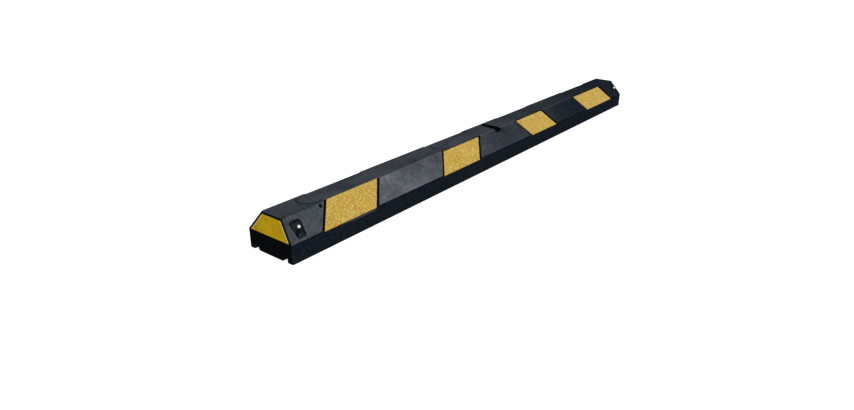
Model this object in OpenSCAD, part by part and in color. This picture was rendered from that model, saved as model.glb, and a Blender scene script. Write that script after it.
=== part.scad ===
// Rubber wheel stop: one moulded rubber bar with reflective tapes in slanted recesses on both
// slopes, a tape on each end, and four anchor studs with nuts and washers in end pockets.
// +X runs along the bar to its far end, -Y is the front, +Z is up and the ground is z = 0.

/* [Block] */
// Length over the two end faces
block_l = 1780; // [1500:10:2400]
// Width across the base
block_w = 150; // [140:1:200]
// Height from the ground to the top of the round pads
block_h = 100; // [92:1:130]
// Height of the upright lower wall
wall_h = 48; // [40:1:56]
// Width of the flat top
top_w = 69; // [64:1:84]
// How far each upper end face leans in over its height
end_lean = 11; // [4:1:20]
// Radius along the moulded edges
edge_r = 3.5; // [1:0.5:5]
// Radius of the four upright corners
corner_r = 5; // [2:0.5:8]

/* [Top] */
// Number of round pads along the top
pad_count = 4; // [2:1:5]
// Diameter of a round pad
pad_d = 58; // [40:1:60]
// How far a round pad stands proud of the flat top
pad_t = 0.8; // [0.4:0.1:2]
// Distance from an end face to the middle of the nearest pad
pad_from_end = 122; // [90:1:160]
// Width of the cross slot at the front edge of the top
slot_front_w = 30; // [24:1:50]
// Width of the cross slot at its closed back end
slot_back_w = 22; // [10:1:24]
// Place along the bar of the slot's middle at the front edge of the top
slot_front_x = -2; // [-10:1:10]
// Place along the bar of the slot's middle at its back end
slot_back_x = 5; // [-10:1:10]
// Depth of the cross slot below the flat top
slot_d = 9.5; // [6:0.5:16]
// Rubber left between the slot and the back edge of the top
slot_rim = 6; // [3:1:12]

/* [Tapes] */
// Length of a tape on a slope
tape_l = 175; // [120:1:190]
// Distance from mid-length to the inner pair of tapes
inner_tape_x = 108; // [90:1:130]
// Distance from an end face to the head of the outer pair of tapes
outer_tape_from_end = 149; // [140:1:200]
// Length of the longer tape at the far end of the front slope
long_tape_l = 214; // [176:1:230]
// Distance from an end face to the head of the longer tape
long_tape_from_end = 146; // [130:1:180]
// Length of the shorter tape in the far half of the front slope
short_tape_l = 166; // [110:1:175]
// Distance from mid-length to the shorter tape
short_tape_x = 113; // [90:1:130]
// How far a tape leans towards the nearer end from its top to its foot
tape_slant = 48; // [0:1:60]
// Depth of the recess that a slope tape lies in
recess_d = 3; // [2:0.25:4]
// Thickness of a slope tape
tape_t = 1.5; // [0.5:0.25:1.75]
// Gap between a slope tape and the two sides of its recess
tape_side_gap = 9; // [1:0.5:14]
// Gap between a slope tape and the top edge of its recess
tape_top_gap = 3; // [1:0.5:8]
// Gap between a slope tape and the foot of its recess
tape_foot_gap = 0.2; // [0.1:0.1:3]

/* [End tapes] */
// Width of the rubber rim round an end recess
end_rim = 6; // [4:0.5:10]
// Depth of an end recess
end_recess_d = 1.5; // [1:0.25:2.5]
// Thickness of an end tape
end_tape_t = 1; // [0.5:0.25:1]
// Gap between an end tape and its recess
end_tape_gap = 1.2; // [0.5:0.1:3]

/* [Base] */
// Distance from the bar's centre line to a channel's upright outer side
channel_out = 57; // [52:1:60]
// Width of a channel at the ground
channel_w = 16.5; // [10:0.5:20]
// Width of a channel at its ceiling
channel_top_w = 11; // [8:0.5:14]
// Depth of a channel
channel_d = 12; // [8:1:16]

/* [Anchor pockets] */
// Distance from an end face to the anchors
anchor_from_end = 38; // [32:1:60]
// Distance from the bar's centre line to the anchors
anchor_y = 59; // [56:0.5:60]
// Height of the pocket floor above the ground
pocket_floor = 53; // [50:0.5:54]
// Radius between a pocket's floor and its sides
pocket_floor_r = 4; // [1:0.5:6]
// How far each side of a pocket leans out from its floor to the height of the top
pocket_flare = 7; // [0:0.5:8]
// Distance from the anchors to the back wall of a pocket
pocket_back = 16; // [14:1:22]
// Radius of the two inner corners of a pocket
pocket_r = 9; // [4:0.5:11]
// Diameter of the anchor bore
bore_d = 10; // [9:0.5:12]

/* [Anchors] */
// Diameter of the anchor stud
stud_d = 8; // [6:0.5:8.5]
// Height of the stud's tip above the ground
stud_tip = 80; // [74:1:84]
// Clear height under the stud's lower end
stud_lift = 1; // [0.5:0.5:5]
// Chamfer on both ends of the stud
stud_chamfer = 1.2; // [0.5:0.1:2]
// Width across the flats of the nut
nut_af = 13; // [11:0.5:14.5]
// Height of the nut
nut_h = 6.8; // [5:0.2:9]
// Diameter of the washer
washer_d = 16; // [15:0.5:18]
// Thickness of the washer
washer_t = 1.6; // [1.2:0.1:3]
// Gap between the washer and the rounded edge of the pocket's floor
washer_side_gap = 0.5; // [0.2:0.1:3]
// Gap all round the stud inside the nut
thread_gap = 0.1; // [0.05:0.05:0.3]
// Gap all round the stud inside the washer
washer_gap = 0.5; // [0.2:0.1:1]

/* [Hidden] */

near = -1;
far = 1;
front = -1;
back = 1;
past = 10;
arc_steps = 5;
top_h = block_h - pad_t;
slope_rise = top_h - wall_h;
slope_run = (block_w - top_w) / 2;
slope_angle = atan2(slope_rise, slope_run);
slope_len = norm([slope_rise, slope_run]);
lean_angle = atan2(end_lean, slope_rise);
end_face_len = norm([slope_rise, end_lean]);
end_side_angle = atan2(end_face_len, slope_run);
outer_tape_x = block_l / 2 - outer_tape_from_end - tape_l;
long_tape_x = block_l / 2 - long_tape_from_end - long_tape_l;
tape_sink = recess_d - tape_t;
tape_foot = tape_foot_gap - tape_sink * tan(slope_angle);
tape_head = slope_len + tape_sink / tan(slope_angle) - tape_top_gap;
anchor_x = block_l / 2 - anchor_from_end;
pocket_floor_w = washer_d + 2 * (washer_side_gap + pocket_floor_r);
pocket_lean = pocket_flare / (top_h - pocket_floor);
pocket_wall_y = pocket_back - anchor_y;
pocket_wall_top = wall_h + (block_w / 2 + pocket_wall_y) * slope_rise / slope_run;
slot_floor = top_h - slot_d;
nut_foot = pocket_floor + washer_t;
rubber = "#22262b";
bead_yellow = "#e3b93c";
end_yellow = "#cfa91c";
zinc = "#c9cdd2";
$fn = 48;

// Points of one rounded corner at b, between its neighbours a and c
function corner_arc(a, b, c, r) =
    let (u = (a - b) / norm(a - b),
         v = (c - b) / norm(c - b),
         half = acos(u * v) / 2,
         mid = b + (u + v) / norm(u + v) * r / sin(half),
         p = b + u * r / tan(half),
         q = b + v * r / tan(half),
         p_angle = atan2(p.y - mid.y, p.x - mid.x),
         q_angle = atan2(q.y - mid.y, q.x - mid.x),
         turn = (q_angle - p_angle + 540) % 360 - 180)
    [for (i = [0 : arc_steps])
        mid + r * [cos(p_angle + turn * i / arc_steps), sin(p_angle + turn * i / arc_steps)]];

// Outline through corners given as [x, y, radius]
function rounded(corners) =
    [for (i = [0 : len(corners) - 1])
        let (n = len(corners),
             a = corners[(i + n - 1) % n],
             b = corners[i],
             c = corners[(i + 1) % n],
             r = b[2])
        each r > 0 ? corner_arc([a.x, a.y], [b.x, b.y], [c.x, c.y], r) : [[b.x, b.y]]];

module mirror_if(wanted, normal) {
    if (wanted)
        mirror(normal)
            children();
    else
        children();
}

// Turns a shape drawn for the front of the far half to one of the four quarters
module in_quarter(end, side) {
    mirror_if(end == near, [1, 0, 0])
        mirror_if(side == back, [0, 1, 0])
            children();
}

// Local frame of the front slope: x along the bar, y up the slope from its lower edge, z outwards
module on_slope() {
    translate([0, -block_w / 2, wall_h])
        rotate([slope_angle, 0, 0])
            children();
}

// Local frame of the far upper end face: x across the bar, y up the face, z outwards
module on_end_face() {
    translate([block_l / 2, 0, wall_h])
        rotate([0, -lean_angle, 0])
            rotate([90, 0, 90])
                children();
}

// Cross-section of the bar with its two drainage channels
module cross_section() {
    channel = [[channel_out, 0, 0],
               [channel_out, channel_d, 1],
               [channel_out - channel_top_w, channel_d, 1],
               [channel_out - channel_w, 0, 0]];
    polygon(rounded([
        [block_w / 2, 0, 1],
        [block_w / 2, wall_h, edge_r],
        [top_w / 2, top_h, edge_r],
        [-top_w / 2, top_h, edge_r],
        [-block_w / 2, wall_h, edge_r],
        [-block_w / 2, 0, 1],
        for (c = channel) [-c.x, c.y, c[2]],
        for (i = [3 : -1 : 0]) channel[i]]));
}

module side_profile() {
    polygon(rounded([
        [block_l / 2, -past, 0],
        [block_l / 2, wall_h, edge_r],
        [block_l / 2 - end_lean, top_h, edge_r],
        [end_lean - block_l / 2, top_h, edge_r],
        [-block_l / 2, wall_h, edge_r],
        [-block_l / 2, -past, 0]]));
}

module plan_outline() {
    polygon(rounded([
        [block_l / 2, block_w / 2, corner_r],
        [-block_l / 2, block_w / 2, corner_r],
        [-block_l / 2, -block_w / 2, corner_r],
        [block_l / 2, -block_w / 2, corner_r]]));
}

module bar() {
    intersection() {
        rotate([90, 0, 90])
            linear_extrude(block_l, center = true)
                cross_section();
        rotate([90, 0, 0])
            linear_extrude(block_w, center = true)
                side_profile();
        linear_extrude(block_h)
            plan_outline();
    }
}

// Slanted plate on the front slope of the far half, from one height up the slope to another
module slanted_plate(start, length, low, high, bottom, thick) {
    function shift(s) = tape_slant * (slope_len - s) / slope_len;
    translate([0, 0, bottom])
        linear_extrude(thick)
            polygon([[start + shift(low), low],
                     [start + length + shift(low), low],
                     [start + length + shift(high), high],
                     [start + shift(high), high]]);
}

module tape_recess(start, length) {
    on_slope()
        slanted_plate(start - tape_side_gap, length + 2 * tape_side_gap,
                      -past, slope_len + past, -recess_d, recess_d + past);
}

module slope_tape(end, side, start, length) {
    color(bead_yellow)
        in_quarter(end, side)
            on_slope()
                slanted_plate(start, length, tape_foot, tape_head, -recess_d, tape_t);
}

// Trapezium on an end face, drawn in from the face's top and slanted sides
module end_trapezium(inset, foot) {
    function half_w(t) = block_w / 2 - t * slope_run / end_face_len - inset / sin(end_side_angle);
    head = end_face_len - inset;
    polygon([[-half_w(foot), foot], [half_w(foot), foot], [half_w(head), head], [-half_w(head), head]]);
}

module end_recess() {
    on_end_face()
        translate([0, 0, -end_recess_d])
            linear_extrude(end_recess_d + past)
                end_trapezium(end_rim, 0);
}

module end_tape(end) {
    color(end_yellow)
        mirror_if(end == near, [1, 0, 0])
            on_end_face()
                translate([0, 0, -end_recess_d])
                    linear_extrude(end_tape_t)
                        end_trapezium(end_rim + end_tape_gap, end_tape_gap);
}

// Front view of a pocket, which widens upwards from its floor, as a bar along y
module pocket_front_view() {
    foot = pocket_floor_w / 2;
    head = foot + pocket_lean * (top_h + past - pocket_floor);
    rotate([90, 0, 0])
        linear_extrude(block_w)
            polygon(rounded([[-foot, pocket_floor, pocket_floor_r], [foot, pocket_floor, pocket_floor_r],
                             [head, top_h + past, 0], [-head, top_h + past, 0]]));
}

// Upright pocket on the front slope of the far half, open to the front, with its anchor bore
module anchor_pocket() {
    wide = pocket_floor_w / 2 + pocket_lean * (pocket_wall_top - pocket_floor);
    translate([anchor_x, 0, 0]) {
        intersection() {
            pocket_front_view();
            linear_extrude(block_h + past)
                polygon(rounded([[-wide, -block_w, 0], [wide, -block_w, 0],
                                 [wide, pocket_wall_y, pocket_r], [-wide, pocket_wall_y, pocket_r]]));
        }
        translate([0, -anchor_y, -past])
            cylinder(d = bore_d, h = pocket_floor + 2 * past);
    }
}

// Slot across the top, closed at the back and open to the front slope
module cross_slot() {
    back_y = top_w / 2 - slot_rim;
    reach = (back_y + block_w / 2) / (back_y + top_w / 2);
    mouth_x = slot_back_x + (slot_front_x - slot_back_x) * reach;
    mouth_w = slot_back_w + (slot_front_w - slot_back_w) * reach;
    translate([0, 0, slot_floor])
        linear_extrude(slot_d + past)
            polygon([[slot_back_x - slot_back_w / 2, back_y], [slot_back_x + slot_back_w / 2, back_y],
                     [mouth_x + mouth_w / 2, -block_w / 2], [mouth_x - mouth_w / 2, -block_w / 2]]);
}

module round_pads() {
    pad_x = block_l / 2 - pad_from_end;
    for (i = [0 : pad_count - 1])
        translate([pad_x * (2 * i / (pad_count - 1) - 1), 0, top_h - pad_t])
            cylinder(d = pad_d, h = 2 * pad_t, $fn = 96);
}

module rubber_block() {
    color(rubber)
        difference() {
            union() {
                bar();
                round_pads();
            }
            for (end = [near, far], side = [front, back])
                in_quarter(end, side) {
                    if (end == far && side == front) {
                        tape_recess(short_tape_x, short_tape_l);
                        tape_recess(long_tape_x, long_tape_l);
                    } else {
                        tape_recess(inner_tape_x, tape_l);
                        tape_recess(outer_tape_x, tape_l);
                    }
                    anchor_pocket();
                }
            for (end = [near, far])
                mirror_if(end == near, [1, 0, 0])
                    end_recess();
            cross_slot();
        }
}

module at_each_anchor() {
    for (end = [near, far], side = [front, back])
        translate([end * anchor_x, side * anchor_y, 0])
            children();
}

module anchor_washers() {
    color(zinc)
        at_each_anchor()
            translate([0, 0, pocket_floor])
                difference() {
                    cylinder(d = washer_d, h = washer_t);
                    translate([0, 0, -past])
                        cylinder(d = stud_d + 2 * washer_gap, h = washer_t + 2 * past);
                }
}

module anchor_nuts() {
    across_corners = nut_af / cos(30);
    color(zinc)
        at_each_anchor()
            translate([0, 0, nut_foot])
                difference() {
                    intersection() {
                        cylinder(d = across_corners, h = nut_h, $fn = 6);
                        cylinder(d1 = across_corners + nut_h, d2 = nut_af, h = nut_h);
                    }
                    translate([0, 0, -past])
                        cylinder(d = stud_d + 2 * thread_gap, h = nut_h + 2 * past);
                }
}

module anchor_studs() {
    color(zinc)
        at_each_anchor()
            rotate_extrude()
                polygon([[0, stud_lift],
                         [stud_d / 2 - stud_chamfer, stud_lift],
                         [stud_d / 2, stud_lift + stud_chamfer],
                         [stud_d / 2, stud_tip - stud_chamfer],
                         [stud_d / 2 - stud_chamfer, stud_tip],
                         [0, stud_tip]]);
}

rubber_block();
slope_tape(near, front, outer_tape_x, tape_l);  // front_tape_1
slope_tape(near, front, inner_tape_x, tape_l);  // front_tape_2
slope_tape(far, front, short_tape_x, short_tape_l);  // front_tape_3
slope_tape(far, front, long_tape_x, long_tape_l);  // front_tape_4
slope_tape(near, back, outer_tape_x, tape_l);  // back_tape_1
slope_tape(near, back, inner_tape_x, tape_l);  // back_tape_2
slope_tape(far, back, inner_tape_x, tape_l);  // back_tape_3
slope_tape(far, back, outer_tape_x, tape_l);  // back_tape_4
end_tape(near);  // near_end_tape
end_tape(far);  // far_end_tape
anchor_washers();
anchor_nuts();
anchor_studs();
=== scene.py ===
"""Looks of the rubber wheel stop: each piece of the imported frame, modelled again in full detail.

All sizes are in metres. +X runs along the bar to its far end, -Y is the front and +Z is up.
"""
from math import atan2, cos, hypot, pi, radians, sin, tan

import bmesh
import bpy
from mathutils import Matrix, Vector


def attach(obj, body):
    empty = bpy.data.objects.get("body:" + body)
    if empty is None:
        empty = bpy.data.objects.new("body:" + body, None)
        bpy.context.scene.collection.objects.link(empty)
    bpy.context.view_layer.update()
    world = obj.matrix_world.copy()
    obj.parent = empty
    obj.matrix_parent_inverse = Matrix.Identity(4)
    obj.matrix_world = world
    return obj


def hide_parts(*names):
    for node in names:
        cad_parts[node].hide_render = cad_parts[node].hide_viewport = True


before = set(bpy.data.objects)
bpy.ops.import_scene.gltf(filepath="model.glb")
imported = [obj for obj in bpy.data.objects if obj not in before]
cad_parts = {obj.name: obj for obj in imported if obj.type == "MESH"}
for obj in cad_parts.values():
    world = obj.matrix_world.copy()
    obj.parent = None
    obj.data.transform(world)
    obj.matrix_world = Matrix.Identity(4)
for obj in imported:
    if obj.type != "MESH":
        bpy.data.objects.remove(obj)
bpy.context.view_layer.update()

MM = 0.001
TINY = 0.01 * MM
NEAR, FAR = -1, 1
FRONT, BACK = -1, 1
QUARTERS = [(end, side) for end in (NEAR, FAR) for side in (FRONT, BACK)]


# Rubber bar
# Crumb rubber pressed hot in a steel mould, in one piece 1.78 m long and open below only at its
# two drain channels. Its slopes carry eight slanted recesses for the tapes, each end two pockets
# for the anchors, and its top a cross slot and four round pads.
block_l, block_w = 1780 * MM, 150 * MM
top_h, wall_h, top_w, end_lean = 99.2 * MM, 48 * MM, 69 * MM, 11 * MM
corner_r, moulded_r, base_r = 5 * MM, 3.5 * MM, 1 * MM
rim_r, end_rim_r, pad_rim_r, root_r = 1.2 * MM, 0.8 * MM, 0.4 * MM, 0.35 * MM
pad_count, pad_from_end, pad_d, pad_t = 4, 122 * MM, 58 * MM, 0.8 * MM
groove_w, groove_d = 1.8 * MM, 0.9 * MM
slot_d, slot_rim = 9.5 * MM, 6 * MM
slot_back_x, slot_back_w = 5 * MM, 22 * MM
slot_front_x, slot_front_w = -2 * MM, 30 * MM
recess_d, recess_margin, tape_slant = 3 * MM, 9 * MM, 48 * MM
tape_l, long_tape_l, short_tape_l = 175 * MM, 214 * MM, 166 * MM
inner_x, short_x, outer_x, long_x = 108 * MM, 113 * MM, 566 * MM, 530 * MM
end_rim, end_recess_d = 6 * MM, 1.5 * MM
anchor_x, anchor_y, bore_d = 852 * MM, 59 * MM, 10 * MM
pocket_floor, pocket_floor_w, pocket_flare = 53 * MM, 25 * MM, 7 * MM
pocket_back, pocket_r, pocket_floor_r = 16 * MM, 9 * MM, 4 * MM
channel_out, channel_w, channel_top_w, channel_d = 57 * MM, 16.5 * MM, 11 * MM, 12 * MM
mark_x, mark_z, mark_r, mark_d = -767 * MM, 92.5 * MM, 8 * MM, 2.2 * MM
past = 10 * MM

slope_rise, slope_run = top_h - wall_h, (block_w - top_w) / 2
slope_angle, slope_len = atan2(slope_rise, slope_run), hypot(slope_rise, slope_run)
lean_angle, end_face_len = atan2(end_lean, slope_rise), hypot(slope_rise, end_lean)


def select_only(piece):
    bpy.ops.object.select_all(action="DESELECT")
    bpy.context.view_layer.objects.active = piece
    piece.select_set(True)


def box(name, low, high):
    """A box between two corners: the start of a piece or of a cutter."""
    bpy.ops.object.select_all(action="DESELECT")
    bpy.ops.mesh.primitive_cube_add(size=1, location=[(a + b) / 2 for a, b in zip(low, high)],
                                    scale=[b - a for a, b in zip(low, high)])
    bpy.ops.object.transform_apply()
    bpy.context.object.name = name
    return bpy.context.object


def pick(piece, parts, test=lambda *corners: True):
    """Opens a piece in edit mode, with those edges or faces selected whose corners pass a test."""
    select_only(piece)
    bpy.ops.object.mode_set(mode="EDIT")
    bpy.ops.mesh.select_mode(type=parts)
    bpy.ops.mesh.select_all(action="DESELECT")
    bpy.ops.object.mode_set(mode="OBJECT")
    corners = piece.data.vertices
    for part in piece.data.edges if parts == "EDGE" else piece.data.polygons:
        part.select = test(*[corners[i].co for i in part.vertices])
    bpy.ops.object.mode_set(mode="EDIT")


def turned(name, profile, at=(0, 0), sides=48):
    """An upright turned shape, from pairs of height and radius: its top face is drawn up and resized."""
    (low, first), (high, radius), *rest = profile
    bpy.ops.object.select_all(action="DESELECT")
    bpy.ops.mesh.primitive_cone_add(vertices=sides, radius1=first, radius2=radius, depth=high - low,
                                    location=(*at, (low + high) / 2))
    bpy.ops.object.transform_apply()
    piece = bpy.context.object
    piece.name = name
    for next_high, next_radius in rest:
        pick(piece, "FACE", lambda *corners: min(c.z for c in corners) > high - TINY)
        bpy.ops.mesh.extrude_region_move(TRANSFORM_OT_translate={"value": (0, 0, next_high - high)})
        bpy.ops.transform.resize(value=(next_radius / radius, next_radius / radius, 1),
                                 center_override=(*at, next_high))
        bpy.ops.object.mode_set(mode="OBJECT")
        high, radius = next_high, next_radius
    return piece


def apply_modifier(piece, kind, **settings):
    """Gives a piece a modifier with these settings and applies it."""
    modifier = piece.modifiers.new(kind.lower(), kind)
    for name, value in settings.items():
        setattr(modifier, name, value)
    select_only(piece)
    bpy.ops.object.modifier_apply(modifier=modifier.name)


def combine(piece, tool, operation):
    """Cuts a tool out of a piece, joins it on or keeps what they share, and removes the tool."""
    apply_modifier(piece, "BOOLEAN", operation=operation, object=tool, solver="EXACT")
    bpy.data.objects.remove(tool)


def place(piece, turn=(0, 0, 0), move=(0, 0, 0), end=FAR, side=FRONT):
    """Turns and moves a piece made for the far front quarter, and mirrors it to its own quarter."""
    select_only(piece)
    piece.rotation_euler, piece.location = turn, move
    bpy.ops.object.transform_apply()
    piece.scale = (end, -side, 1)
    bpy.ops.object.transform_apply()
    pick(piece, "FACE")
    bpy.ops.mesh.normals_make_consistent(inside=False)
    bpy.ops.object.mode_set(mode="OBJECT")
    return piece


def onto_slope(piece, end, side):
    """Lays a piece made flat, with x along the bar and y up the slope, on one of the slopes."""
    return place(piece, (slope_angle, 0, 0), (0, -block_w / 2, wall_h), end, side)


def onto_end(piece, end):
    """Lays a piece made flat, with x across the bar and y up the end, on one of the end faces."""
    place(piece, (pi / 2, 0, pi / 2))
    return place(piece, (0, -lean_angle, 0), (block_l / 2, 0, wall_h), end)


def slanted_plate(name, start, length, foot, head, low, high):
    """A flat plate from foot to head up a slope, whose foot lies nearer the bar's end."""
    plate = box(name, (start, foot, low), (start + length, head, high))
    for vertex in plate.data.vertices:
        vertex.co.x += tape_slant * (slope_len - vertex.co.y) / slope_len
    return plate


def end_trapezium(name, inset, foot, low, high):
    """A flat plate inside an end face's outline, drawn in from its slanted sides and its top."""
    def half_width(up):
        return block_w / 2 - up * slope_run / end_face_len - inset * hypot(1, slope_run / end_face_len)
    plate = box(name, (-1, foot, low), (1, end_face_len - inset, high))
    for vertex in plate.data.vertices:
        vertex.co.x *= half_width(vertex.co.y)
    return plate


def round_edges(piece, radius_of, segments):
    """Rounds each edge by the radius that a rule gives for it and for the angle between its faces."""
    mesh = bmesh.new()
    mesh.from_mesh(piece.data)
    weight = mesh.edges.layers.float.new("bevel_weight_edge")
    widest = 0
    for edge in mesh.edges:
        turn = edge.calc_face_angle(0)
        edge[weight] = radius_of(edge, turn) * tan(turn / 2)
        widest = max(widest, edge[weight])
    for edge in mesh.edges:
        edge[weight] /= widest
    mesh.to_mesh(piece.data)
    mesh.free()
    apply_modifier(piece, "BEVEL", limit_method="WEIGHT", offset_type="OFFSET", width=widest,
                   segments=segments, use_clamp_overlap=False)
    piece.data.attributes.remove(piece.data.attributes["bevel_weight_edge"])


def smooth(piece, angle=40):
    """Smooth shading that keeps the large faces flat and lets the narrow rounded edges turn."""
    select_only(piece)
    bpy.ops.object.shade_smooth_by_angle(angle=radians(angle))
    apply_modifier(piece, "WEIGHTED_NORMAL", keep_sharp=True, weight=60)


# The plain bar: a box cut to its slopes and leaning ends, and rounded as the mould leaves it.
block = box("rubber_bar", (-block_l / 2, -block_w / 2, 0), (block_l / 2, block_w / 2, top_h))
slants = [((end * block_l / 2, 0, wall_h), (end * slope_rise, 0, end_lean)) for end in (NEAR, FAR)]
slants += [((0, side * block_w / 2, wall_h), (0, side * slope_rise, slope_run)) for side in (FRONT, BACK)]
for point, normal in slants:
    pick(block, "FACE")
    bpy.ops.mesh.bisect(plane_co=point, plane_no=normal, use_fill=True, clear_outer=True)
    bpy.ops.object.mode_set(mode="OBJECT")


def corner_radius(edge, turn):
    a, b = [corner.co for corner in edge.verts]
    return corner_r if abs(a.z - b.z) > MM else 0


def level_radius(edge, turn):
    a, b = [corner.co for corner in edge.verts]
    if abs(a.z - b.z) > MM / 10:
        return 0
    return base_r if a.z < MM else moulded_r


round_edges(block, corner_radius, 5)
round_edges(block, level_radius, 4)

# The drain channels, and in each quarter a pocket with its bore and the recesses of two tapes. A
# pocket's sides flare, and its back wall meets them in round corners.
for end, side in QUARTERS:
    if end == FAR:
        channel = box("channel", (-block_l, channel_out - channel_w, -past), (block_l, channel_out, channel_d))
        for vertex in channel.data.vertices:
            if vertex.co.y < channel_out - MM:
                vertex.co.y += (channel_w - channel_top_w) * vertex.co.z / channel_d
        combine(block, place(channel, side=-side), "DIFFERENCE")
    wall_y, reach = pocket_back - anchor_y, 2 * top_h
    pocket = box("pocket", (-pocket_floor_w / 2, -block_w, pocket_floor), (pocket_floor_w / 2, 0, reach))
    for vertex in pocket.data.vertices:
        rise = (vertex.co.z - pocket_floor) / (top_h - pocket_floor)
        vertex.co.x *= 1 + rise * pocket_flare / (pocket_floor_w / 2)
    pick(pocket, "EDGE", lambda a, b: max(a.z, b.z) < pocket_floor + MM and abs(a.y - b.y) > MM)
    bpy.ops.mesh.bevel(offset=pocket_floor_r, segments=6, affect="EDGES")
    bpy.ops.object.mode_set(mode="OBJECT")
    wall_top = wall_h + (block_w / 2 + wall_y) * slope_rise / slope_run
    width = pocket_floor_w / 2 + pocket_flare * (wall_top - pocket_floor) / (top_h - pocket_floor)
    plan = box("pocket_plan", (-width, -2 * block_w, 0), (width, wall_y, 2 * reach))
    pick(plan, "EDGE", lambda a, b: abs(a.z - b.z) > MM and min(a.y, b.y) > wall_y - MM)
    bpy.ops.mesh.bevel(offset=pocket_r, segments=8, affect="EDGES")
    bpy.ops.object.mode_set(mode="OBJECT")
    combine(pocket, plan, "INTERSECT")
    combine(block, place(pocket, move=(anchor_x, 0, 0), end=end, side=side), "DIFFERENCE")
    bore = turned("bore", [(-past, bore_d / 2), (pocket_floor + past, bore_d / 2)],
                  (end * anchor_x, side * anchor_y))
    combine(block, bore, "DIFFERENCE")
    spans = [(inner_x, tape_l), (outer_x, tape_l)]
    if (end, side) == (FAR, FRONT):
        spans = [(short_x, short_tape_l), (long_x, long_tape_l)]
    for start, length in spans:
        recess = slanted_plate("recess", start - recess_margin, length + 2 * recess_margin,
                               -past, slope_len + past, -recess_d, past)
        combine(block, onto_slope(recess, end, side), "DIFFERENCE")
for end in (NEAR, FAR):
    recess = end_trapezium("end_recess", end_rim, 0, -end_recess_d, past)
    combine(block, onto_end(recess, end), "DIFFERENCE")

# The skewed slot across the top, which is wider at the front.
slot_back_y, slot_front_y = top_w / 2 - slot_rim, -top_w / 2
slot = box("slot", (-1, -block_w / 2, top_h - slot_d), (1, slot_back_y, 2 * top_h))
for vertex in slot.data.vertices:
    forward = (slot_back_y - vertex.co.y) / (slot_back_y - slot_front_y)
    half_width = (slot_back_w + forward * (slot_front_w - slot_back_w)) / 2
    vertex.co.x = slot_back_x + forward * (slot_front_x - slot_back_x) + vertex.co.x * half_width
combine(block, slot, "DIFFERENCE")

# The low round pads, each in a fine groove, and the small dimple high on the near front slope.
pads = [(block_l / 2 - pad_from_end) * (2 * number / (pad_count - 1) - 1) for number in range(pad_count)]
for pad_x in pads:
    pad_at = pad_x, 0
    groove = turned("groove", [(top_h - groove_d, pad_d / 2 + groove_w / 2), (top_h, pad_d / 2 + groove_w),
                               (top_h + MM, pad_d / 2 + groove_w)], pad_at, 96)
    combine(block, groove, "DIFFERENCE")
    pad = turned("pad", [(top_h - 2 * groove_d, pad_d / 2), (top_h + pad_t, pad_d / 2)], pad_at, 96)
    combine(block, pad, "UNION")
mark_y = -block_w / 2 + (mark_z - wall_h) * slope_run / slope_rise
outwards = Vector((0, -sin(slope_angle), cos(slope_angle)))
bpy.ops.object.select_all(action="DESELECT")
bpy.ops.mesh.primitive_uv_sphere_add(segments=24, ring_count=12, radius=mark_r,
                                     location=Vector((mark_x, mark_y, mark_z)) + outwards * (mark_r - mark_d))
bpy.ops.object.transform_apply()
combine(block, bpy.context.object, "DIFFERENCE")


def cut_radius(edge, turn):
    """The rounding of the edges that the cuts made. The grooves' own edges stay sharp."""
    middle = (edge.verts[0].co + edge.verts[1].co) / 2
    from_rim = min(abs(hypot(middle.x - pad_x, middle.y) - pad_d / 2) for pad_x in pads)
    if turn < radians(30):
        return 0
    if middle.z > top_h + MM / 10:
        return pad_rim_r
    if middle.z > top_h - 2 * groove_d and from_rim < groove_w + 1.2 * MM:
        return 0
    if not edge.is_convex:
        return root_r
    if abs(middle.x) > block_l / 2 - end_lean - MM and middle.z > wall_h:
        return end_rim_r
    return rim_r


# The rounded rims may swell past the ends by a hair, so they are held to the bar's length.
round_edges(block, cut_radius, 3)
for vertex in block.data.vertices:
    vertex.co.x = max(-block_l / 2, min(vertex.co.x, block_l / 2))
smooth(block)


def linear(code):
    """The linear colour of an sRGB hex value such as #20262c."""
    parts = [int(code[i:i + 2], 16) / 255 for i in (1, 3, 5)]
    return [p / 12.92 if p <= 0.04045 else ((p + 0.055) / 1.055) ** 2.4 for p in parts] + [1]


def add(tree, kind, *values, **more):
    """Adds a node. Values fill its sockets in order, and more fill a setting or a socket by its name.

    A socket whose name is used twice goes by its number, as _6. A node or an output is linked.
    """
    node = tree.nodes.new("ShaderNode" + kind)
    for key, value in [*enumerate(values), *more.items()]:
        if isinstance(key, str) and hasattr(node, key):
            setattr(node, key, value)
            continue
        if isinstance(key, str):
            key = int(key[1:]) if key[1:].isdigit() else key.replace("_", " ")
        if isinstance(value, bpy.types.Node):
            value = next(output for output in value.outputs if output.enabled)
        if isinstance(value, bpy.types.NodeSocket):
            tree.links.new(value, node.inputs[key])
        else:
            node.inputs[key].default_value = value
    return node


def zone(tree, *spans):
    """The product of several spans, each a value and where it counts as 0 and as 1.

    Two more numbers in a span are what it counts as there instead.
    """
    share = 1
    for span in spans:
        share = add(tree, "Math", share, add(tree, "MapRange", *span), operation="MULTIPLY")
    return share


def new_material(name):
    material = bpy.data.materials.new(name)
    material.use_nodes = True
    material.node_tree.nodes.clear()
    return material, material.node_tree


def finish_piece(piece, material, slot_name, *nodes):
    """Gives a finished piece its material and its body, and hides the nodes of the frame that it stands for.
    """
    piece.data.materials.clear()
    piece.data.materials.append(material)
    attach(piece, "root")
    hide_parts(*nodes)
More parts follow.
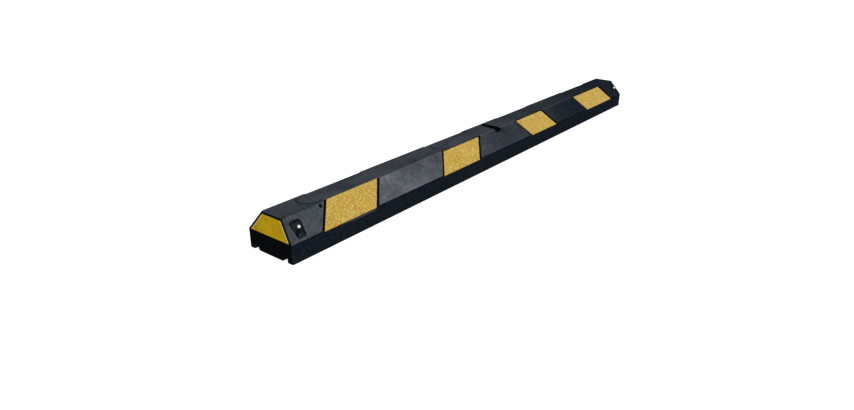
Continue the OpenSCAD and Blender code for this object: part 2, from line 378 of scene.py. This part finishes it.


# Pressed crumb rubber: near black and matt on the walls, and painted black as shade in what is cut in.
# Settled dust and the wax bloom of old rubber, with a painted sheen, turn what faces upwards a
# blotchy slate grey, and the crumb leaves a fine speckle. Crumb of 1 to 3 mm is drawn 3 mm wide, to show at
# this size.
BLOTCH, SMEAR, SPECKLE, CRUMB = 100 * MM, 28 * MM, 9 * MM, 3 * MM
NAVY_RUBBER, PALE_GRAIN, SHADE_BLACK_RUBBER, DUST_AND_SHEEN_GREY = "#12181f", "#242c37", "#111214", "#a9afb6"
rubber, tree = new_material("pressed_crumb_rubber")
point = add(tree, "TexCoord").outputs["Object"]
normal = add(tree, "NewGeometry").outputs["Normal"]
facing_x, _, facing_up = add(tree, "SeparateXYZ", normal).outputs
along, across, up = add(tree, "SeparateXYZ", point).outputs
blotches = add(tree, "TexNoise", Vector=point, Scale=1 / BLOTCH, Detail=3, Roughness=0.6)
wiped = add(tree, "Mapping", Vector=point, Rotation=(0, radians(-20), 0), Scale=(0.4, 1, 1))
smears = add(tree, "TexNoise", Vector=wiped, Scale=1 / SMEAR, Detail=3, Roughness=0.6)
speckle = add(tree, "TexNoise", Vector=point, Scale=1 / SPECKLE, Detail=2, Roughness=0.6)
crumb = add(tree, "TexVoronoi", Vector=point, Scale=1 / CRUMB, Randomness=1.0)

# How far a point stands out from the slopes, from the top and from the nearer of the two: on them
# this is zero, and in whatever is cut into them it is less.
from_middle = add(tree, "Math", along, operation="ABSOLUTE")
from_axis = add(tree, "Math", across, operation="ABSOLUTE")
slope_offset = -(block_w / 2 * sin(slope_angle) + wall_h * cos(slope_angle))
sideways = add(tree, "Math", from_axis, sin(slope_angle), slope_offset, operation="MULTIPLY_ADD")
off_slope = add(tree, "Math", up, cos(slope_angle), sideways, operation="MULTIPLY_ADD")
off_top = add(tree, "Math", up, top_h, operation="SUBTRACT")
off_face = add(tree, "Math", off_slope, off_top, operation="MAXIMUM")

# Dust, with a painted sheen, thins out along the top towards the far end. On the slopes the dust and
# painted sheen are thickest in the near third, as the pairs of place along the bar and amount say.
TOP_DUST_AND_SHEEN, FAR_TOP_DUST_AND_SHEEN = 0.09, 0.005
SLOPE_DUST_AND_SHEEN = (0.03, 0.17), (0.22, 0.25), (0.32, 0.22), (0.52, 0.07), (0.6, 0.055), (0.78, 0.004)
slope_dust_and_sheen = add(tree, "ValToRGB", add(tree, "MapRange", along, -block_l / 2, block_l / 2))
stops = slope_dust_and_sheen.color_ramp.elements
for number, (spot, amount) in enumerate(SLOPE_DUST_AND_SHEEN):
    stop = stops[number] if number < 2 else stops.new(spot)
    stop.position, stop.color = spot, (amount, amount, amount, 1)
slope_dust_and_sheen.color_ramp.interpolation = "EASE"
top_dust_and_sheen = add(tree, "MapRange", along, -200 * MM, 850 * MM, TOP_DUST_AND_SHEEN, FAR_TOP_DUST_AND_SHEEN,
               interpolation_type="SMOOTHSTEP")
on_top = add(tree, "MapRange", facing_up, 0.7, 0.95)
dust_and_painted_light = add(tree, "Mix", on_top, _2=slope_dust_and_sheen, _3=top_dust_and_sheen)

# It lies only on open faces that look up and, half as thick, on the pocket floors, so that what is
# cut in stays dark as painted shade. The near side of each pad's rim gets a painted shade, and the noises make
# it uneven, smeared and speckled.
FLOOR_SHARE, PAD_RIM_SHADE = 0.5, 0.35
UNEVENNESS = (blotches, 0.2, 0.35), (smears, 0.2, 0.26), (speckle, 0.15, 0.17)
looks_up = add(tree, "MapRange", facing_up, 0.35, 0.6)
on_floor = zone(tree, (up, pocket_floor + 3 * MM, pocket_floor + MM, 0, FLOOR_SHARE), (facing_up, 0.85, 0.95))
open_face = add(tree, "MapRange", off_face, -1.2 * MM, -0.45 * MM)
open_face = add(tree, "Math", open_face, on_floor, operation="MAXIMUM")
# Painted shade: the grey is thinned along the side of each pad's rim that faces the near end.
pad_gap = pads[1] - pads[0]
from_pad = add(tree, "Math", along, 0, -pad_gap, operation="WRAP")
from_pad = add(tree, "Math", from_pad, pad_gap / 2, operation="ADD")
squares = add(tree, "Math", across, across, operation="MULTIPLY")
squares = add(tree, "Math", from_pad, from_pad, squares, operation="MULTIPLY_ADD")
from_rim = add(tree, "Math", add(tree, "Math", squares, operation="SQRT"), pad_d / 2, operation="SUBTRACT")
from_rim = add(tree, "Math", from_rim, operation="ABSOLUTE")
pad_rim_shade = add(tree, "MapRange", from_rim, 1 * MM, 4 * MM, PAD_RIM_SHADE, 1)
pad_rim_shade = add(tree, "Mix", add(tree, "MapRange", from_pad, 6 * MM, -8 * MM), _2=1.0, _3=pad_rim_shade)
shares = [looks_up, open_face, pad_rim_shade]
for noise, half_span, amount in UNEVENNESS:
    shares.append(add(tree, "MapRange", noise, 0.5 - half_span, 0.5 + half_span, 1 - amount, 1 + amount))
for share in shares:
    dust_and_painted_light = add(tree, "Math", dust_and_painted_light, share, operation="MULTIPLY")

# The ridges between top and slopes carry a painted shade at the near end and a painted highlight past
# the first tape. The lower part of each pocket gets painted light, and the wall below the first tapes a
# painted highlight.
NEAR_RIDGE_SHADE, RIDGE_HIGHLIGHT, FAR_RIDGE_HIGHLIGHT_SHARE, POCKET_LIGHT, WALL_HIGHLIGHT = -0.06, 0.09, 0.1, 0.05, 0.16
# Painted shade and painted highlight along the ridges.
ridge = add(tree, "Math", off_slope, off_top, operation="MINIMUM")
first_foot = -outer_x - tape_slant
rub_and_ridge_light = zone(tree, (ridge, -2.2 * MM, -0.9 * MM), (along, -600 * MM, -400 * MM, NEAR_RIDGE_SHADE, RIDGE_HIGHLIGHT),
              (along, 100 * MM, 800 * MM, 1, FAR_RIDGE_HIGHLIGHT_SHARE))
# Painted light: the lower, inner part of each pocket is made paler, leaving its top and outer side dark as
# painted shade.
pocket_light = zone(tree, (up, 88 * MM, 78 * MM, 0, POCKET_LIGHT),
                (from_middle, anchor_x - 24 * MM, anchor_x - 20 * MM),
                (from_middle, anchor_x + 11 * MM, anchor_x + 5 * MM),
                (off_slope, -3 * MM, -7 * MM), (up, wall_h, wall_h + 3 * MM))
# Painted highlight: a pale band on the wall just below its edge, under the first tapes.
wall_highlight = zone(tree, (up, wall_h - 9 * MM, wall_h - 7.5 * MM, 0, WALL_HIGHLIGHT),
               (up, wall_h - 4 * MM, wall_h - 5 * MM), (along, -745 * MM, -680 * MM),
               (along, first_foot, first_foot - 4 * MM))
for patch in (rub_and_ridge_light, pocket_light, wall_highlight):
    dust_and_painted_light = add(tree, "Math", dust_and_painted_light, patch, operation="ADD")

# Bare rubber is a navy black with paler grains. The ends and the cut-ins are painted plain black as shade.
grains = add(tree, "SeparateColor", crumb.outputs["Color"]).outputs[0]
grit = add(tree, "MapRange", add(tree, "Mix", 0.6, _2=grains, _3=speckle), 0.25, 0.75)
tone = add(tree, "Mix", grit, data_type="RGBA", _6=linear(NAVY_RUBBER), _7=linear(PALE_GRAIN))
end_start = block_l / 2 - end_lean
looks_endways = add(tree, "Math", facing_x, operation="ABSOLUTE")
on_end = zone(tree, (from_middle, end_start - 3 * MM, end_start + MM), (looks_endways, 0.6, 0.9))
cut_in = zone(tree, (off_face, -0.45 * MM, -0.9 * MM), (from_middle, anchor_x - 20 * MM, anchor_x - 24 * MM),
              (up, wall_h - 4 * MM, wall_h - 2 * MM))
painted_shade_black = add(tree, "Math", on_end, cut_in, operation="MAXIMUM")
tone = add(tree, "Mix", painted_shade_black, data_type="RGBA", _6=tone, _7=linear(SHADE_BLACK_RUBBER))
# The pale grey laid on here is dust together with painted sheen, highlights and light.
tone = add(tree, "Mix", dust_and_painted_light, data_type="RGBA", _6=tone, _7=linear(DUST_AND_SHEEN_GREY))
dull = add(tree, "MapRange", smears, 0.3, 0.7, 0.7, 0.85)
relief = add(tree, "Math", speckle, crumb.outputs["Distance"], operation="ADD")
bump = add(tree, "Bump", Strength=0.35, Distance=0.25 * MM, Height=relief)
surface = add(tree, "BsdfPrincipled", Base_Color=tone, Roughness=dull, Specular_IOR_Level=0.0, Normal=bump)
add(tree, "OutputMaterial", surface)
finish_piece(block, rubber, "rubber", "rubber_block")


# Slope tapes
# Eight strips of yellow road-marking tape with glass beads in their face, 1.5 mm thick, cut on the
# slant and glued into the recesses of both slopes. The one next to the far front pocket is longer
# than the rest, and its neighbour is shorter. The first front tape runs higher up than the others.
tape_t, tape_foot_gap, tape_top_gap, tape_edge_r = 1.5 * MM, 0.2 * MM, 3 * MM, 0.4 * MM
first_higher = 2.5 * MM
tape_sink = recess_d - tape_t
tape_foot = tape_foot_gap - tape_sink * tan(slope_angle)
tape_head = slope_len + tape_sink / tan(slope_angle) - tape_top_gap

# Bead tape: a pigmented resin full of glass beads, so its face is even and matt, with the beads' fine
# sparkle painted in as glints. Beads of 0.3 mm are drawn 2.6 mm wide in clusters of 7 mm, to show at this
# size.
BEAD, CLUSTER, WASH = 2.6 * MM, 7 * MM, 45 * MM
DEEP_RESIN, RESIN, WORN_RESIN, BEAD_GLINT = "#b28d33", "#deb94f", "#d6b96a", "#f8e8b0"
bead_film, tree = new_material("glass_bead_marking_tape")
point = add(tree, "TexCoord").outputs["Object"]
beads = add(tree, "TexVoronoi", Vector=point, Scale=1 / BEAD)
clusters = add(tree, "TexNoise", Vector=point, Scale=1 / CLUSTER, Detail=3, Roughness=0.9)
wash = add(tree, "TexNoise", Vector=point, Scale=1 / WASH, Detail=2)
bead_tints = add(tree, "SeparateColor", beads.outputs["Color"]).outputs
grit = add(tree, "MapRange", add(tree, "Mix", 0.5, _2=clusters, _3=bead_tints[1]), 0.3, 0.7)
tone = add(tree, "Mix", grit, data_type="RGBA", _6=linear(DEEP_RESIN), _7=linear(RESIN))
# Painted glints: the brightest beads are made pale.
painted_glints = add(tree, "MapRange", bead_tints[0], 0.8, 0.9, 0, 0.5)
tone = add(tree, "Mix", painted_glints, data_type="RGBA", _6=tone, _7=linear(BEAD_GLINT))
worn = add(tree, "MapRange", wash, 0.35, 0.75, 0, 0.25)
tone = add(tree, "Mix", worn, data_type="RGBA", _6=tone, _7=linear(WORN_RESIN))
relief = add(tree, "Math", clusters, beads.outputs["Distance"], operation="SUBTRACT")
bump = add(tree, "Bump", Strength=0.4, Distance=0.3 * MM, Height=relief)
surface = add(tree, "BsdfPrincipled", Base_Color=tone, Roughness=0.5, Specular_IOR_Level=0.1, Normal=bump)
add(tree, "OutputMaterial", surface)

tape_rows = {FRONT: ("front", (short_x, short_tape_l), (long_x, long_tape_l)),
             BACK: ("back", (inner_x, tape_l), (outer_x, tape_l))}
for side, (word, inner_far, outer_far) in tape_rows.items():
    spans = [(NEAR, outer_x, tape_l), (NEAR, inner_x, tape_l), (FAR, *inner_far), (FAR, *outer_far)]
    for number, (end, start, length) in enumerate(spans, 1):
        head = tape_head + first_higher if (side, number) == (FRONT, 1) else tape_head
        tape = slanted_plate(f"bead_tape_{word}_{number}", start, length, tape_foot, head,
                             -recess_d, tape_t - recess_d)
        onto_slope(tape, end, side)
        round_edges(tape, lambda edge, turn: tape_edge_r, 2)
        smooth(tape, 50)
        finish_piece(tape, bead_film, "bead_tape", f"{word}_tape_{number}")


# End tapes
# A trapezium of deep yellow reflective film 1 mm thick, glued into the shallow recess in each
# leaning end face, with a narrow dark border of rubber left round it.
end_tape_t, end_tape_gap, film_edge_r, edge_highlight_w = 1 * MM, 1.2 * MM, 0.3 * MM, 2.5 * MM

# End film: a smooth plastic face over a fine cell pattern, deeper in colour and glossier than the
# bead tape, with a painted highlight along its slanted sides. Cells of 2 mm show as a faint even grain.
CELL, STAIN = 2 * MM, 30 * MM
DEEP_FILM, FILM, FILM_EDGE_HIGHLIGHT = "#bb9400", "#dcb40a", "#ecd888"
end_film, tree = new_material("reflective_end_film")
point = add(tree, "TexCoord").outputs["Object"]
cells = add(tree, "TexVoronoi", Vector=point, Scale=1 / CELL, Randomness=0.4)
stains = add(tree, "TexNoise", Vector=point, Scale=1 / STAIN, Detail=4, Roughness=0.6)
stained = add(tree, "MapRange", stains, 0.3, 0.7)
tone = add(tree, "Mix", stained, data_type="RGBA", _6=linear(DEEP_FILM), _7=linear(FILM))
_, across, up = add(tree, "SeparateXYZ", point).outputs
from_axis = add(tree, "Math", across, operation="ABSOLUTE")
sideways = add(tree, "Math", from_axis, sin(slope_angle), slope_offset, operation="MULTIPLY_ADD")
off_slope = add(tree, "Math", up, cos(slope_angle), sideways, operation="MULTIPLY_ADD")
# Painted highlight along the film's slanted sides.
film_side = -end_rim - end_tape_gap
edge_highlight = add(tree, "MapRange", off_slope, film_side - edge_highlight_w, film_side - edge_highlight_w / 2)
tone = add(tree, "Mix", edge_highlight, data_type="RGBA", _6=tone, _7=linear(FILM_EDGE_HIGHLIGHT))
bump = add(tree, "Bump", Strength=0.2, Distance=0.1 * MM, Height=cells.outputs["Distance"])
surface = add(tree, "BsdfPrincipled", Base_Color=tone, Roughness=0.35, Specular_IOR_Level=0.05, Normal=bump)
add(tree, "OutputMaterial", surface)

for end, word in ((NEAR, "near"), (FAR, "far")):
    tape = end_trapezium(f"tape_{word}_end", end_rim + end_tape_gap, end_tape_gap,
                         -end_recess_d, end_tape_t - end_recess_d)
    onto_end(tape, end)
    round_edges(tape, lambda edge, turn: film_edge_r, 2)
    smooth(tape, 50)
    finish_piece(tape, end_film, "end_tape", f"{word}_end_tape")


# Anchor washers
# Four flat M8 washers, punched from steel sheet, so one rim is rounded by the die. They lie on
# the pocket floors under the nuts.
washer_d, washer_t, washer_bore_d, die_r = 16 * MM, 1.6 * MM, 9 * MM, 0.35 * MM


def at_each_anchor(piece, turn):
    """Copies a piece made on the z axis to the four anchors, each turned further, as one piece."""
    copies = []
    for number, (end, side) in enumerate(QUARTERS):
        copy = piece.copy()
        copy.data = piece.data.copy()
        bpy.context.collection.objects.link(copy)
        copies.append(place(copy, (0, 0, number * turn), (end * anchor_x, side * anchor_y, 0)))
    bpy.data.objects.remove(piece)
    select_only(copies[0])
    for copy in copies:
        copy.select_set(True)
    bpy.ops.object.join()
    return copies[0]


# Blackened steel: heat-blackened and oiled, so it is dark and half matt, with rubbed grey patches
# 4 mm wide.
RUB_PATCH, BLACK_STEEL, RUBBED_STEEL = 4 * MM, "#262c34", "#4b535d"
black_steel, tree = new_material("blackened_steel")
point = add(tree, "TexCoord").outputs["Object"]
rub_and_ridge_light = add(tree, "TexNoise", Vector=point, Scale=1 / RUB_PATCH, Detail=4, Roughness=0.7)
rubbed_bare = add(tree, "MapRange", rub_and_ridge_light, 0.45, 0.75)
tone = add(tree, "Mix", rubbed_bare, data_type="RGBA", _6=linear(BLACK_STEEL), _7=linear(RUBBED_STEEL))
dull = add(tree, "MapRange", rub_and_ridge_light, 0.3, 0.7, 0.65, 0.45)
bump = add(tree, "Bump", Strength=0.2, Distance=0.05 * MM, Height=rub_and_ridge_light)
surface = add(tree, "BsdfPrincipled", Base_Color=tone, Metallic=1.0, Roughness=dull, Normal=bump)
add(tree, "OutputMaterial", surface)

washer_top = pocket_floor + washer_t
washer = turned("washers", [(pocket_floor, washer_d / 2 - die_r / 2), (pocket_floor + die_r / 2, washer_d / 2),
                            (washer_top - die_r, washer_d / 2),
                            (washer_top - die_r / 3, washer_d / 2 - die_r / 3),
                            (washer_top, washer_d / 2 - die_r)])
hole = turned("washer_hole", [(pocket_floor - MM, washer_bore_d / 2), (washer_top + MM, washer_bore_d / 2)])
combine(washer, hole, "DIFFERENCE")
washer = at_each_anchor(washer, 0)
smooth(washer, 50)
finish_piece(washer, black_steel, "black_steel", "anchor_washers")


# Anchor nuts
# Four hexagon M8 nuts of blackened steel, turned down on the studs onto the washers. Both faces
# are chamfered and the thread's mouths are countersunk.
nut_af, nut_h, nut_bore_d, nut_chamfer, mouth_d = 13 * MM, 6.8 * MM, 8.2 * MM, 0.9 * MM, 0.6 * MM
nut_foot, nut_top = washer_top, washer_top + nut_h
nut_corner_r, face_r = nut_af / 2 / cos(radians(30)), nut_af / 2 * 0.97
nut = turned("nuts", [(nut_foot, nut_corner_r), (nut_top, nut_corner_r)], sides=6)
blank = turned("nut_blank", [(nut_foot, face_r), (nut_foot + nut_chamfer, nut_corner_r),
                             (nut_top - nut_chamfer, nut_corner_r), (nut_top, face_r)], sides=96)
combine(nut, blank, "INTERSECT")
mouth_r = nut_bore_d / 2 + mouth_d
hole = turned("nut_hole", [(nut_foot - MM, mouth_r), (nut_foot, mouth_r), (nut_foot + mouth_d, nut_bore_d / 2),
                           (nut_top - mouth_d, nut_bore_d / 2), (nut_top, mouth_r), (nut_top + MM, mouth_r)])
combine(nut, hole, "DIFFERENCE")
nut = at_each_anchor(nut, radians(22))
smooth(nut, 25)
finish_piece(nut, black_steel, "black_steel", "anchor_nuts")


# Anchor studs
# Four M8 threaded rods that come up out of the road through the bar's bores, with their ends
# chamfered. The tips of the front pair are what shines in the end pockets.
stud_d, stud_lift, stud_tip, stud_chamfer, pitch = 8 * MM, 1 * MM, 80 * MM, 1.2 * MM, 1.25 * MM
root_d, crest_share, thread_steps = stud_d - 1.227 * pitch, 0.12, 16

# The thread: one turn's outline, from root to crest and back, wound up the rod. It is set half a
# step off a whole turn, so that the two cuts which give the rod its ends meet no corner of it.
bpy.ops.object.select_all(action="DESELECT")
bpy.ops.mesh.primitive_plane_add(size=1)
stud = bpy.context.object
stud.name = "studs"
crest = (1 - crest_share) / 2 * pitch
flank = [(root_d / 2, 0), (root_d / 2, pitch), (stud_d / 2, crest), (stud_d / 2, pitch - crest)]
for vertex, (radius, height) in zip(stud.data.vertices, flank):
    vertex.co = (radius, 0, height)
pick(stud, "EDGE", lambda a, b: max(a.x, b.x) < root_d / 2 + TINY)
bpy.ops.mesh.delete(type="EDGE_FACE")
bpy.ops.object.mode_set(mode="OBJECT")
apply_modifier(stud, "SCREW", axis="Z", angle=2 * pi, screw_offset=pitch, iterations=int(stud_tip / pitch) + 3,
               steps=thread_steps, render_steps=thread_steps, use_merge_vertices=True)
pick(stud, "VERT")
bpy.ops.mesh.remove_doubles(threshold=TINY)
bpy.ops.object.mode_set(mode="OBJECT")
place(stud, move=(0, 0, -pitch - pitch / thread_steps / 2))
for height, direction in ((stud_lift, -1), (stud_tip, 1)):
    pick(stud, "FACE")
    bpy.ops.mesh.bisect(plane_co=(0, 0, height), plane_no=(0, 0, direction), use_fill=True, clear_outer=True,
                        threshold=TINY / 100)
    bpy.ops.object.mode_set(mode="OBJECT")
tip_r = stud_d / 2 - stud_chamfer
blank = turned("stud_blank", [(stud_lift - MM, tip_r - MM), (stud_lift + stud_chamfer, stud_d / 2),
                              (stud_tip - stud_chamfer, stud_d / 2), (stud_tip + MM, tip_r - MM)])
combine(stud, blank, "INTERSECT")
stud = at_each_anchor(stud, radians(75))
smooth(stud, 35)

# Zinc-plated steel, painted near white as a highlight over the top 5 mm and dark as the pocket's shade
# below that. The ragged edge between them has patches 3 mm wide.
SHADE_EDGE_PATCH, shade_edge_reach, bright_l, SHADED_ZINC, GLINT_ZINC = 3 * MM, 6 * MM, 5 * MM, "#1d232b", "#f8fafc"
zinc, tree = new_material("zinc_plated_steel")
point = add(tree, "TexCoord").outputs["Object"]
height = add(tree, "SeparateXYZ", point).outputs[2]
shade_edge = add(tree, "TexNoise", Vector=point, Scale=1 / SHADE_EDGE_PATCH, Detail=4, Roughness=0.7)
line = add(tree, "Math", shade_edge, shade_edge_reach, height, operation="MULTIPLY_ADD")
# Painted highlight over the top of the stud, and painted shade below it.
bright_from = stud_tip - bright_l
painted_glint = add(tree, "MapRange", line, bright_from + 1.5 * MM, bright_from + 4.5 * MM)
tone = add(tree, "Mix", painted_glint, data_type="RGBA", _6=linear(SHADED_ZINC), _7=linear(GLINT_ZINC))
dull = add(tree, "MapRange", painted_glint, 0, 1, 0.8, 0.3)
surface = add(tree, "BsdfPrincipled", Base_Color=tone, Metallic=1.0, Roughness=dull)
add(tree, "OutputMaterial", surface)
finish_piece(stud, zinc, "zinc_steel", "anchor_studs")


# Studio floor and background
# A plain white floor and a white surround, lit evenly. Both are pure white to the camera and in
# reflections, and the floor keeps a faint shadow of the bar.
SEEN_WHITE, SHADOW_GREY, BOUNCE_GREY, WORLD_LIGHT = 0.8, 0.62, 0.35, 0.32


def seen_by_eye(tree):
    """One for what the camera sees, also in metal or through glass, and zero for the light itself."""
    rays = add(tree, "LightPath").outputs
    seen = add(tree, "Math", rays["Is Camera Ray"], rays["Is Glossy Ray"], operation="MAXIMUM")
    return add(tree, "Math", seen, rays["Is Transmission Ray"], operation="MAXIMUM")


bpy.ops.object.select_all(action="DESELECT")
bpy.ops.mesh.primitive_plane_add(size=60)
floor = bpy.context.object
floor.name = "floor"
paper, tree = new_material("floor_paper")
bounce = add(tree, "BsdfDiffuse", Color=(BOUNCE_GREY, BOUNCE_GREY, BOUNCE_GREY, 1))
shadowed = add(tree, "BsdfDiffuse", Color=(SHADOW_GREY, SHADOW_GREY, SHADOW_GREY, 1))
white = add(tree, "Emission", Strength=SEEN_WHITE)
shown = add(tree, "AddShader", shadowed, white)
add(tree, "OutputMaterial", add(tree, "MixShader", seen_by_eye(tree), bounce, shown))
floor.data.materials.append(paper)

world = bpy.data.worlds.new("studio")
bpy.context.scene.world = world
world.use_nodes = True
tree = world.node_tree
tree.nodes.clear()
strength = add(tree, "MapRange", seen_by_eye(tree), 0, 1, WORLD_LIGHT, 1)
add(tree, "OutputWorld", add(tree, "Background", Color=(1, 1, 1, 1), Strength=strength))


# Lamps and camera
# A soft key lamp shines from the front and the near end, a faint one from beyond the far end, and
# one from low behind lights the back slope. The camera is fitted to the photograph.
lamps = {"key": (1.9, 25, (-0.35, -0.62, 0.7)), "edge": (0.25, 12, (0.7, 0.3, 0.65)),
         "back": (0.9, 25, (0.1, 0.97, 0.2))}
for name, (strength, softness, direction) in lamps.items():
    bpy.ops.object.light_add(type="SUN")
    light = bpy.context.object
    light.name = name
    light.data.energy, light.data.angle = strength, radians(softness)
    light.rotation_euler = (-Vector(direction)).to_track_quat("-Z", "Y").to_euler()

camera_at, camera_turn, lens = (-1.69236, -1.07889, 0.68978), (66.547, -0.169, -51.809), 27.195
bpy.ops.object.camera_add(location=camera_at, rotation=[radians(angle) for angle in camera_turn])
camera = bpy.context.object
camera.data.sensor_width, camera.data.lens = 36, lens
bpy.context.scene.camera = camera
bpy.context.scene.view_settings.view_transform = "Standard"
